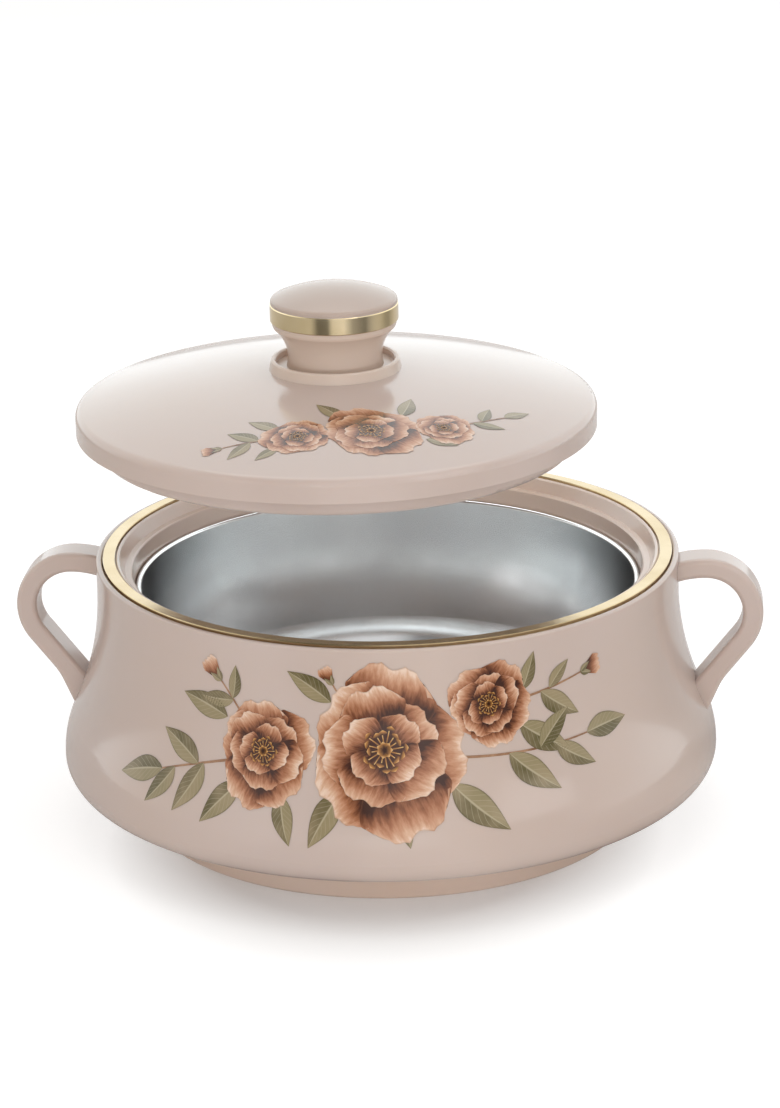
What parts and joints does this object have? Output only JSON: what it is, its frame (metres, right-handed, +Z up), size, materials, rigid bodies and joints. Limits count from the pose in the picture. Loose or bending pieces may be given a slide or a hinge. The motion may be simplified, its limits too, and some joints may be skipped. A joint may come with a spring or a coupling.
{
  "type": "insulated casserole",
  "caption": "Insulated serving casserole: bell-shaped body with strap handles, gilt rim and steel bowl, and a domed lift-off lid with a waisted knob.",
  "frame": {"origin": "centre of the foot on the table, under the pot's axis", "axes": "+Z up along the pot's axis, +X to the right handle, -Y towards the front"},
  "size_m": [0.2898, 0.255, 0.2093],
  "materials": {
    "body_plastic": "glossy beige moulded plastic with a printed flower spray on the pot's front and the lid; bare where the lettering was",
    "collar_plastic": "satin beige moulded plastic",
    "base_plastic": "satin beige moulded plastic",
    "gilt": "polished champagne gold",
    "bowl_steel": "polished stainless steel",
    "screw_steel": "zinc plated steel",
    "foam": "rigid insulating foam"
  },
  "bodies": {
    "pot": {"outer_shell": "body_plastic", "handle_left": "body_plastic", "handle_right": "body_plastic", "rim_trim_ring": "gilt", "inner_collar": "collar_plastic", "steel_bowl": "bowl_steel", "body_foam": "foam", "base_cap": "base_plastic", "base_fill_plug": "base_plastic"},
    "lid": {"lid_cover": "body_plastic", "lid_liner": "collar_plastic", "lid_foam": "foam", "knob_collar": "body_plastic", "knob_neck": "body_plastic", "knob_band": "gilt", "knob_cap": "body_plastic", "knob_screw": "screw_steel", "knob_washer": "screw_steel"}
  },
  "joints": [
    {"name": "lid_lift", "type": "slide", "parent": "pot", "child": "lid", "axis": [-0.3162, 0, 0.9487], "range_m": [-0.0581, 0.0615]}
  ]
}
